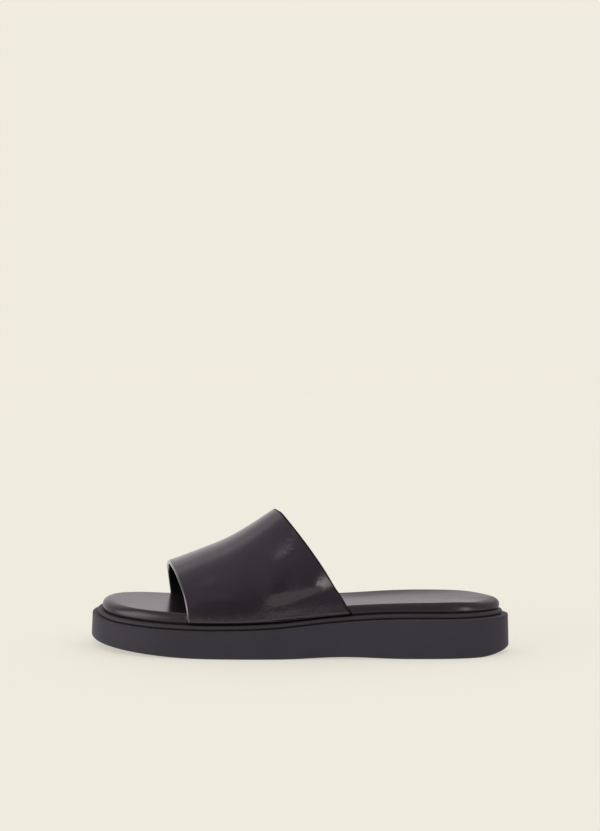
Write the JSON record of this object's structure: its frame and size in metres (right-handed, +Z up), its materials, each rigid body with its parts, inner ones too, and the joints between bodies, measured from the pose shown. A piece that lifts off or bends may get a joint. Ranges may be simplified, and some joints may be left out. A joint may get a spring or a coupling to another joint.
{
  "type": "slide sandal",
  "caption": "Open-toe, open-back slide sandal for the left foot: a wide smooth leather band over the instep on a padded leather footbed, a thin bead-edged midsole and a thick moulded sole.",
  "frame": {"origin": "on the floor, under the middle of the sole's box", "axes": "-X towards the toe, -Y towards the outer side of the foot, +Z up"},
  "size_m": [0.264, 0.095, 0.0878],
  "materials": {
    "outsole_rubber": "matte moulded black rubber",
    "midsole_wrap": "satin black leather wrapped over a board",
    "footbed_leather": "satin black lining leather over thin padding",
    "upper_leather": "smooth polished black calf leather"
  },
  "bodies": {
    "root": {"outsole": "outsole_rubber", "midsole": "midsole_wrap", "footbed": "footbed_leather", "upper": "upper_leather"}
  },
  "joints": []
}
